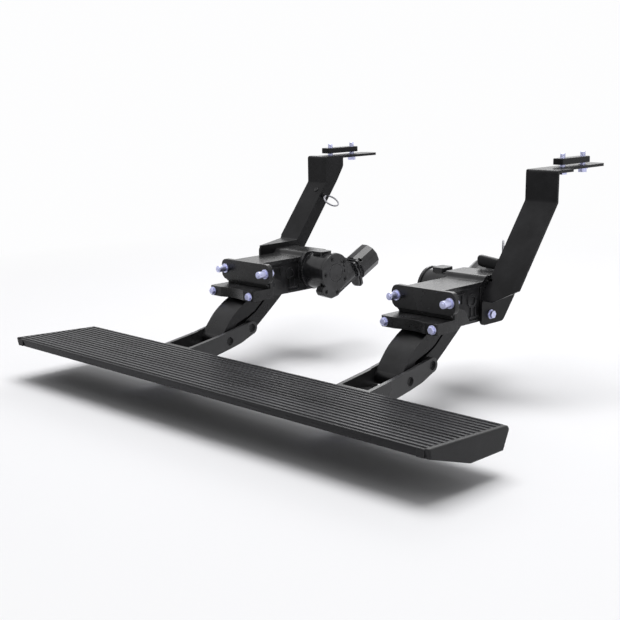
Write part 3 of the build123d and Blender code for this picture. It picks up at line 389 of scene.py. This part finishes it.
class Workshop:
    """Makes one material for each finish and paints pieces with it."""

    def __init__(self) -> None:
        """Make the shared effects; no material is made yet."""
        self.effects = SurfaceEffects()
        self.made: dict[str, bpy.types.Material] = {}

    def material(self, finish: Finish) -> bpy.types.Material:
        """The material of a finish, made once.

        Args:
            finish: The finish wanted.

        Returns:
            Its material.
        """
        if finish.name in self.made:
            return self.made[finish.name]
        material = bpy.data.materials.new(finish.name)
        sheet = NodeTree.inside(material)
        scale, stretch = finish.grain.value
        grain = sheet.add("ShaderNodeGroup", {"Scale": scale, "Stretch": stretch},
                          node_tree=self.effects.grain)
        edges = sheet.add("ShaderNodeGroup", {"Round": finish.round_mm / 1000.0},
                          node_tree=self.effects.edges)
        dust = sheet.add("ShaderNodeGroup", {"Amount": finish.dust}, node_tree=self.effects.dust)
        shade = sheet.remap(grain.outputs["Mottle"], NOISE_MIDDLE, MOTTLE)
        mottled = sheet.blend(shade, finish.base, finish.mottle_and_highlight)
        # Painted highlight: edges take the lighter second colour.
        edge_light = sheet.maths("MULTIPLY", edges.outputs["Mask"], finish.edge_highlight)
        highlighted = sheet.blend(edge_light, mottled, finish.mottle_and_highlight)
        coloured = sheet.blend(dust.outputs["Mask"], highlighted, DUST_COLOUR)
        gloss = sheet.remap(grain.outputs["Gloss"], NOISE_MIDDLE, finish.roughness)
        bump = sheet.add("ShaderNodeBump", {"Height": grain.outputs["Height"],
                                            "Normal": edges.outputs["Normal"],
                                            "Strength": finish.relief, "Distance": BUMP_DISTANCE})
        sheet.surface(sheet.add("ShaderNodeBsdfPrincipled", {
            "Base Color": coloured, "Roughness": gloss, "Normal": bump.outputs[0],
            "Metallic": finish.metallic, "Specular IOR Level": finish.shine}))
        material.diffuse_color = (*finish.base, 1.0)
        self.made[finish.name] = material
        return material

    def paint(self, piece: bpy.types.Object, finish: Finish) -> None:
        """Give every slot of a piece the finish's material.

        Args:
            piece: The piece to paint.
            finish: Its finish.
        """
        material = self.material(finish)
        if piece.data.materials:
            for index in range(len(piece.data.materials)):
                piece.data.materials[index] = material
        else:
            piece.data.materials.append(material)


def place_in_scene(name: str, data: bpy.types.ID) -> bpy.types.Object:
    """Make an object in the scene.

    Args:
        name: Name of the object.
        data: Its mesh, light or camera.

    Returns:
        The object.
    """
    made = bpy.data.objects.new(name, data)
    bpy.context.scene.collection.objects.link(made)
    return made


class MeshMaker:
    """Sweeps closed sections along a path into one clean mesh."""

    @staticmethod
    def wire_section(radius: float, wire: float) -> list[Span]:
        """Draw the section of a round wire that is bent to a ring.

        Args:
            radius: Radius of the ring, at the wire's middle.
            wire: Radius of the wire.

        Returns:
            Points as (distance from the ring's axis, place along it).
        """
        return [(radius + wire * math.cos(math.radians(turn)), wire * math.sin(math.radians(turn)))
                for turn in range(0, 360, WIRE_STEP)]

    @staticmethod
    def swept(name: str, runs: list[list[list[Vector]]], looped: bool) -> bpy.types.Object:
        """Skin one or more runs of sections.

        Args:
            name: Name of the new piece.
            runs: For each run, its sections, each a closed ring of points.
            looped: Whether each run closes on itself; otherwise its ends are capped.

        Returns:
            The new piece, in the scene.
        """
        skin = bmesh.new()
        for sections in runs:
            rings = [[skin.verts.new(point) for point in section] for section in sections]
            count = len(rings[0])
            pairs = list(zip(rings, rings[1:]))
            if looped:
                pairs.append((rings[-1], rings[0]))
            else:
                skin.faces.new(rings[0][::-1])
                skin.faces.new(rings[-1])
            for near, far in pairs:
                for i in range(count):
                    j = (i + 1) % count
                    skin.faces.new((near[i], near[j], far[j], far[i]))
        bmesh.ops.recalc_face_normals(skin, faces=skin.faces)
        for face in skin.faces:
            face.smooth = len(face.verts) == 4
        mesh = bpy.data.meshes.new(name)
        skin.to_mesh(mesh)
        skin.free()
        return place_in_scene(name, mesh)

    @staticmethod
    def turned(centre: Vector, along: Vector, across: Vector, profile: list[Span],
               start: float, end: float, steps: int, rise: float = 0.0) -> list[list[Vector]]:
        """Sections of a profile carried round an axis.

        Args:
            centre: A point on the axis.
            along: Unit vector of the axis.
            across: Unit vector from which the angle is counted.
            profile: Points as (distance from the axis, place along it), in metres.
            start: First angle in degrees.
            end: Last angle in degrees.
            steps: Number of steps between them.
            rise: Travel along the axis for each full turn.

        Returns:
            The sections, one more than the steps unless they make one closed turn.
        """
        other = along.cross(across)
        closed = rise == 0.0 and abs(end - start) >= 360.0
        sections = []
        for step in range(steps if closed else steps + 1):
            degrees = start + (end - start) * step / steps
            angle = math.radians(degrees)
            out = across * math.cos(angle) + other * math.sin(angle)
            lift = rise * (degrees - start) / 360.0
            sections.append([centre + out * far + along * (place + lift)
                             for far, place in profile])
        return sections


@dataclass
class SubAssembly:
    """Solids that belong together, the finish of each, and the fine pieces made on them."""

    workshop: Workshop
    nodes: dict[str, bpy.types.Object]
    side: Side | None = None
    body: str = "fixed_frame"
    finishes: tuple[tuple[str, Finish], ...] = ()

    def name_of(self, ending: str) -> str:
        """Full name of a piece on this side."""
        return f"{self.side.word}_{ending}" if self.side else ending

    def build(self) -> list[bpy.types.Object]:
        """Make the fine pieces; a plain group has none."""
        return []

    def dress(self) -> list[tuple[str, str]]:
        """Give every solid of the group its finish, then make its fine pieces.

        Returns:
            Each piece's name, with its finish or that it was made here.
        """
        dressed = []
        for ending, finish in self.finishes:
            name = self.name_of(ending)
            self.workshop.paint(self.nodes[name], finish)
            dressed.append((name, finish.name))
        return dressed + [(piece.name, "made here") for piece in self.build()]

    def settle(self, piece: bpy.types.Object, finish: Finish, slot: str, body: str | None = None
               ) -> bpy.types.Object:
        """Finish a new piece and let it ride on a body.

        Args:
            piece: The new piece.
            finish: Its finish.
            slot: Not used.
            body: The body it rides on, or the group's own.

        Returns:
            The same piece.
        """
        self.workshop.paint(piece, finish)
        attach(piece, body or self.body)
        return piece

    @property
    def middle(self) -> float:
        """Place of the mechanism's centre plane along the board."""
        return self.side.value * HALF_SPACING if self.side else 0.0

    def at(self, place: Place) -> Vector:
        """Point whose X is counted from the mechanism's centre plane."""
        return Vector((self.middle + place[0], place[1], place[2]))


@dataclass
class RunningBoard(SubAssembly):
    """Ribbed extrusion with its two moulded end caps."""

    body: str = "step"
    finishes: tuple[tuple[str, Finish], ...] = (
        ("running_board", TREAD_COAT), ("left_end_cap", CAP_PLASTIC),
        ("right_end_cap", CAP_PLASTIC))


@dataclass
class Fork(SubAssembly):
    """Fork under the board, its bolts and pins, and the snap rings that keep the pins."""

    body: str = "step"
    finishes: tuple[tuple[str, Finish], ...] = (
        ("fork", FORK_COAT), ("fork_bolts", ZINC), ("lower_pins", BLACK_SCREW))
    half_width: float = 0.036
    recess: float = 0.0026
    ring_inner: float = 0.0066
    ring_outer: float = 0.0079
    ring_thick: float = 0.0009
    ring_mouth: float = 34.0
    ring_gap: float = 0.0001
    ring_steps: int = 40

    def build(self) -> list[bpy.types.Object]:
        """Make the snap rings, one in each pin recess.

        Returns:
            The rings, as one piece.
        """
        runs = []
        for y, z in (REAR_LOW, DRIVE_LOW):
            for face in (-1, 1):
                floor = face * (self.half_width - self.recess)
                near = floor + face * self.ring_gap
                far = floor + face * (self.ring_gap + self.ring_thick)
                profile = [(self.ring_inner, near), (self.ring_outer, near),
                           (self.ring_outer, far), (self.ring_inner, far)]
                runs.append(MeshMaker.turned(
                    Vector((self.middle, y, z)), Vector((1, 0, 0)), Vector((0, -1, 0)), profile,
                    self.ring_mouth / 2, 360.0 - self.ring_mouth / 2, self.ring_steps))
        rings = MeshMaker.swept(self.name_of("pin_snap_rings"), runs, looped=False)
        return [self.settle(rings, BLACK_SCREW, "dark_steel")]


@dataclass
class Linkage(SubAssembly):
    """Drive link and rear link with their bushes."""

    finishes: tuple[tuple[str, Finish], ...] = (
        ("drive_link", LINK_COAT), ("rear_link", LINK_COAT), ("drive_link_bushes", BRONZE),
        ("rear_link_bushes", BRONZE))


@dataclass
class CrankDrive(SubAssembly):
    """Crank, rod and their pins, inside the housing."""

    finishes: tuple[tuple[str, Finish], ...] = (
        ("crank", DARK_STEEL), ("crank_pin", DARK_STEEL), ("rod_pin", DARK_STEEL),
        ("drive_rod", DARK_STEEL), ("upper_pins", DARK_STEEL))


@dataclass
class Housing(SubAssembly):
    """Cast housing, its side covers, and the bolts and long nuts in its front."""

    finishes: tuple[tuple[str, Finish], ...] = (
        ("housing", CAST_COAT), ("pivot_covers", COVER_PLASTIC), ("upper_studs", ZINC),
        ("upper_nuts", ZINC), ("lower_bolts", ZINC))


@dataclass
class GearMotor(SubAssembly):
    """Gearbox with its end cover and gasket, and the motor."""

    finishes: tuple[tuple[str, Finish], ...] = (
        ("gearbox", GEAR_COAT), ("gearbox_cover", GEAR_COAT), ("cover_screws", BLACK_SCREW),
        ("motor_case", GEAR_COAT), ("motor_screws", BLACK_SCREW))
    joint_x: float = 0.097
    joint_radius: float = 0.0361
    gasket_edge: float = 0.0383
    gasket_thick: float = 0.0007
    gasket_lap: float = 0.002
    gasket_steps: int = 96

    def build(self) -> list[bpy.types.Object]:
        """Make the gasket under the end cover.

        Returns:
            The gasket.
        """
        inward = -self.side.value
        seam = self.joint_x - self.gasket_thick / 2
        inner = self.joint_radius - self.gasket_lap
        band = [(inner, seam), (self.gasket_edge, seam),
                (self.gasket_edge, seam + self.gasket_thick), (inner, seam + self.gasket_thick)]
        gasket = MeshMaker.swept(self.name_of("cover_gasket"), [MeshMaker.turned(
            Vector((self.middle, *CRANK_AXIS)), Vector((inward, 0, 0)), Vector((0, 0, 1)), band,
            0.0, 360.0, self.gasket_steps)], looped=True)
        return [self.settle(gasket, COVER_PLASTIC, "cover_plastic")]


@dataclass
class UpperBracket(SubAssembly):
    """Folded bracket with the bolt that holds it on the housing."""

    finishes: tuple[tuple[str, Finish], ...] = (
        ("upper_bracket", BRACKET_COAT), ("bracket_bolt", ZINC))


@dataclass
class TopClamp(SubAssembly):
    """Clamp bar with its bolts, whose free ends are threaded."""

    finishes: tuple[tuple[str, Finish], ...] = (("clamp_bar", BRACKET_COAT), ("clamp_bolts", ZINC))
    from_middle: float = 0.065
    half_pitch: float = 0.033
    stud_radius: float = 0.0046
    crest: float = 0.00016
    pitch: float = 0.00125
    turns: float = 5.2
    first: float = 0.0006
    root_sink: float = 0.0001
    foot_half: float = 0.42  # of the pitch
    crest_half: float = 0.08  # of the pitch
    turn_steps: int = 36

    def build(self) -> list[bpy.types.Object]:
        """Make the threads on the bolts' free ends.

        Returns:
            The threads, as one piece.
        """
        foot, top = self.stud_radius - self.root_sink, self.stud_radius + self.crest
        wide, slim = self.foot_half * self.pitch, self.crest_half * self.pitch
        profile = [(foot, -wide), (top, -slim), (top, slim), (foot, wide)]
        x = self.middle + self.side.value * self.from_middle
        runs = [MeshMaker.turned(Vector((x, y, self.first + wide)), Vector((0, 0, 1)),
                                 Vector((1, 0, 0)), profile, 0.0, 360.0 * self.turns,
                                 int(self.turn_steps * self.turns), rise=self.pitch)
                for y in (-self.half_pitch, self.half_pitch)]
        threads = MeshMaker.swept(self.name_of("bolt_threads"), runs, looped=False)
        for face in threads.data.polygons:
            face.use_smooth = False
        return [self.settle(threads, ZINC_THREAD, "zinc_steel")]


@dataclass
class HarnessFittings(SubAssembly):
    """Clip on the bracket, with what is held there.

    The left one has a hanging tie ring, and a push-in fastener beside it. The right one has a
    parked plug and an upright tie loop.
    """

    wire: float = 0.0015
    loop_radius: float = 0.0215
    loop_at: Place = (0.028, -0.156, -0.1585)
    loop_turn: float = 127.0
    ring_radius: float = 0.0158
    ring_wire: float = 0.0018
    ring_at: Place = (-0.0309, -0.081, -0.096)
    ring_droop: float = 36.0
    button_at: Place = (-0.056, -0.0863, -0.0834)
    button_tip: float = 38.1
    wire_steps: int = 72
    button_rings: tuple[Span, ...] = (  # radius and height over the strip
        (0.0046, -0.0003), (0.0048, 0.0008), (0.0044, 0.0013), (0.0030, 0.0017),
        (0.0026, 0.0013), (0.0020, 0.0009))
    plug_y: float = -0.156
    plug_depth: float = 0.0065
    plug_roundness: float = 0.55
    # Place along X, middle in Z, half height, and share of the full depth.
    plug_stations: tuple[tuple[float, float, float, float], ...] = (
        (-0.0245, -0.1762, 0.0030, 0.45), (-0.0238, -0.1762, 0.0064, 0.72),
        (-0.0220, -0.1764, 0.0088, 0.90), (-0.0190, -0.1767, 0.0101, 1.0),
        (-0.0120, -0.1776, 0.0105, 1.0), (0.0080, -0.1797, 0.0104, 1.0),
        (0.0180, -0.1808, 0.0103, 1.0), (0.0205, -0.1811, 0.0100, 0.95),
        (0.0212, -0.1812, 0.0034, 0.60), (0.0228, -0.1813, 0.0034, 0.60),
        (0.0235, -0.1814, 0.0076, 0.80), (0.0332, -0.1816, 0.0076, 0.80))

    def __post_init__(self) -> None:
        """Pick the fittings of the side."""
        held = {Side.LEFT: ("tie_ring", PALE_PLASTIC), Side.RIGHT: ("plug_holder", CAP_PLASTIC)}
        self.finishes = (("tie_clip", CAP_PLASTIC), held[self.side])

    def build(self) -> list[bpy.types.Object]:
        """Make the fittings of the side.

        Returns:
            The ring and fastener of the left side, or the loop and plug of the right.
        """
        if self.side is Side.LEFT:
            return [self._hung_ring(), self._push_button()]
        return [self._upright_loop(), self._parked_plug()]

    def _upright_loop(self) -> bpy.types.Object:
        """Make the tie loop that stands on the clip.

        Returns:
            The loop.
        """
        spread = math.radians(self.loop_turn)
        flat = Vector((math.cos(spread), math.sin(spread), 0.0))
        axis = flat.cross(Vector((0, 0, 1)))
        section = MeshMaker.wire_section(self.loop_radius, self.wire)
        loop = MeshMaker.swept("right_tie_loop", [MeshMaker.turned(
            self.at(self.loop_at), axis, flat, section, 0.0, 360.0, self.wire_steps)], looped=True)
        return self.settle(loop, PALE_PLASTIC, "grey_plastic")

    def _push_button(self) -> bpy.types.Object:
        """Make the dished head of the push-in fastener on the bracket's strip.

        Returns:
            The head.
        """
        tip = math.radians(self.button_tip)
        out, side = Vector((0.0, -math.cos(tip), math.sin(tip))), Vector((1, 0, 0))
        up = out.cross(side)
        place = self.at(self.button_at)
        rings = [[place + out * height + radius * (side * math.cos(math.radians(turn))
                                                   + up * math.sin(math.radians(turn)))
                  for turn in range(0, 360, ROUND_STEP)] for radius, height in self.button_rings]
        head = MeshMaker.swept("left_push_button", [rings], looped=False)
        return self.settle(head, BLACK_SCREW, "black_plastic")

    def _squared(self, value: float) -> float:
        """Sine or cosine drawn outwards, so that a circle becomes a rounded rectangle."""
        return math.copysign(abs(value) ** self.plug_roundness, value)

    def _parked_plug(self) -> bpy.types.Object:
        """Make the rounded plug body, its neck and the tab that holds it on the clip.

        Returns:
            The plug, in place of the solid one.
        """
        rings = []
        for out, height, half, depth in self.plug_stations:
            ring = []
            for turn in range(0, 360, ROUND_STEP):
                across = self._squared(math.cos(math.radians(turn)))
                up = self._squared(math.sin(math.radians(turn)))
                ring.append(self.at((out, self.plug_y + depth * self.plug_depth * across,
                                     height + half * up)))
            rings.append(ring)
        plug = MeshMaker.swept("right_parked_plug", [rings], looped=False)
        self.settle(plug, CAP_PLASTIC, "black_plastic")
        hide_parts("right_plug_holder")
        return plug

    def _hung_ring(self) -> bpy.types.Object:
        """Make the ring that hangs a little down from the clip's eye.

        Returns:
            The ring, in place of the solid one.
        """
        droop = math.radians(self.ring_droop)
        out = Vector((math.cos(droop), 0.0, -math.sin(droop)))
        axis = Vector((0, 1, 0)).cross(out)
        section = MeshMaker.wire_section(self.ring_radius, self.ring_wire)
        ring = MeshMaker.swept("left_hung_ring", [MeshMaker.turned(
            self.at(self.ring_at) + out * self.ring_radius, axis, out, section, 0.0, 360.0,
            self.wire_steps)], looped=True)
        self.settle(ring, PALE_PLASTIC, "grey_plastic")
        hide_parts("left_tie_ring")
        return ring


@dataclass
class Studio:
    """Pale floor and backdrop, soft lights, and the camera at the photograph's angle."""

    floor_z: float = -0.405
    floor_size: float = 40.0
    floor_lift: float = 0.01
    floor_bright: Span = (0.9, 2.0)
    floor_fade: float = 0.6
    floor_clouds: float = 1.5
    floor_tones: tuple[Colour, Colour] = ((0.77, 0.77, 0.785), (0.79, 0.79, 0.805))
    floor_far: Colour = (0.26, 0.26, 0.27)
    # Light of the world: (from, to) along the axis, then its strength at those two.
    rear_glow: tuple[Span, Span] = ((-0.35, 0.55), (0.10, 0.6))
    right_share: tuple[Span, Span] = ((0.0, 0.8), (1.0, 0.35))
    high_glow: tuple[Span, Span] = ((0.6, 1.0), (0.0, 0.7))
    camera_at: Place = (1.412, -1.803, 0.148)
    camera_turn: Place = (78.5316, 0.8712, 44.7477)
    aim_at: Place = (0.0, -0.45, -0.25)
    lamps: tuple[tuple[str, Place, Span, float], ...] = (
        ("high_soft", (0.1, -0.1, 3.2), (3.2, 2.0), 126.0),
        ("rear_soft", (-1.6, 2.6, 1.6), (2.6, 1.6), 32.0),
        ("right_soft", (3.2, -1.2, 1.0), (1.4, 1.6), 7.0))

    def build(self) -> None:
        """Make the floor, the world, the lamps and the camera."""
        self._floor()
        self._world()
        for name, place, size, power in self.lamps:
            self._lamp(name, place, size, power)
        self._camera()

    def _floor(self) -> None:
        """Wide pale floor that keeps the step's soft shadow."""
        mesh = bpy.data.meshes.new("studio_floor")
        half = self.floor_size / 2
        mesh.from_pydata([(-half, -half, self.floor_z), (half, -half, self.floor_z),
                          (half, half, self.floor_z), (-half, half, self.floor_z)],
                         [], [(0, 1, 2, 3)])
        floor = place_in_scene("studio_floor", mesh)
        material = bpy.data.materials.new("pale_floor")
        sheet = NodeTree.inside(material)
        place = sheet.add("ShaderNodeTexCoord").outputs["Object"]
        cloud = sheet.add("ShaderNodeTexNoise", {"Vector": place, "Scale": self.floor_clouds,
                                                 "Detail": 2.0})
        pale = sheet.blend(cloud.outputs[0], *self.floor_tones)
        away = sheet.add("ShaderNodeVectorMath", {0: place}, operation="LENGTH").outputs["Value"]
        rim = self.floor_bright[1]
        outer = sheet.remap(away, self.floor_bright, (0.0, 1.0))
        beyond = sheet.remap(away, (rim, rim + self.floor_fade), (0.0, 1.0))
        matt = sheet.add("ShaderNodeBsdfDiffuse",
                         {"Color": sheet.blend(beyond, pale, self.floor_far)})
        white = sheet.add("ShaderNodeEmission", {"Color": STUDIO_WHITE, "Strength": 1.0})
        lift = sheet.remap(outer, (0.0, 1.0), (self.floor_lift, 1.0))
        direct = sheet.maths("MULTIPLY", sheet.seen(), lift)
        sheet.surface(sheet.add("ShaderNodeMixShader",
                                {0: direct, 1: matt.outputs[0], 2: white.outputs[0]}))
        mesh.materials.append(material)

    def _world(self) -> None:
        """White in view and in reflections; its own light is paler above and dimmer in front."""
        world = bpy.data.worlds.new("studio_air")
        bpy.context.scene.world = world
        sheet = NodeTree.inside(world)
        around = sheet.add("ShaderNodeTexCoord").outputs["Generated"]
        parts = sheet.add("ShaderNodeSeparateXYZ", {0: around})
        rear = sheet.remap(parts.outputs["Y"], *self.rear_glow)
        right = sheet.remap(parts.outputs["X"], *self.right_share)
        high = sheet.remap(parts.outputs["Z"], *self.high_glow)
        glow = sheet.maths("MAXIMUM", sheet.maths("MULTIPLY", rear, right), high)
        strength = sheet.add("ShaderNodeMix", {0: sheet.seen(), 2: glow, 3: 1.0},
                             data_type="FLOAT")
        air = sheet.add("ShaderNodeBackground", {"Color": STUDIO_WHITE,
                                                 "Strength": strength.outputs[0]})
        sheet.surface(air, "ShaderNodeOutputWorld")

    def _lamp(self, name: str, place: Place, size: Span, power: float) -> None:
        """Rectangular soft lamp that looks at the step.

        Args:
            name: Name of the lamp.
            place: Where it stands.
            size: Its two sides.
            power: Its power in watts.
        """
        data = bpy.data.lights.new(name, "AREA")
        data.shape = "RECTANGLE"
        data.size, data.size_y = size
        data.energy = power
        lamp = place_in_scene(name, data)
        lamp.location = place
        aim = Vector(self.aim_at) - Vector(place)
        lamp.rotation_euler = aim.to_track_quat("-Z", "Y").to_euler()

    def _camera(self) -> None:
        """Camera at the photograph's place, angle and frame."""
        data = bpy.data.cameras.new("photo_camera")
        data.sensor_width = SENSOR_MM
        data.lens = FOCAL_PIXELS * SENSOR_MM / PHOTO_PIXELS
        data.dof.use_dof = False
        camera = place_in_scene("photo_camera", data)
        camera.location = self.camera_at
        camera.rotation_euler = Euler([math.radians(v) for v in self.camera_turn])
        bpy.context.scene.camera = camera


def main() -> None:
    """Load the frame, dress it, and set up the studio."""
    logging.basicConfig(level=logging.INFO, format="%(name)s: %(message)s")
    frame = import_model()
    bpy.context.scene.view_settings.view_transform = "Standard"
    workshop = Workshop()
    nodes = frame["nodes"]
    groups = [RunningBoard(workshop, nodes)]
    for side in Side:
        groups += [kind(workshop, nodes, side) for kind in (
            Fork, Linkage, CrankDrive, Housing, GearMotor, UpperBracket, TopClamp,
            HarnessFittings)]
    for group in groups:
        for name, finish in group.dress():
            LOG.info("%s: %s", name, finish)
    Studio().build()


if __name__ == "__main__":
    main()
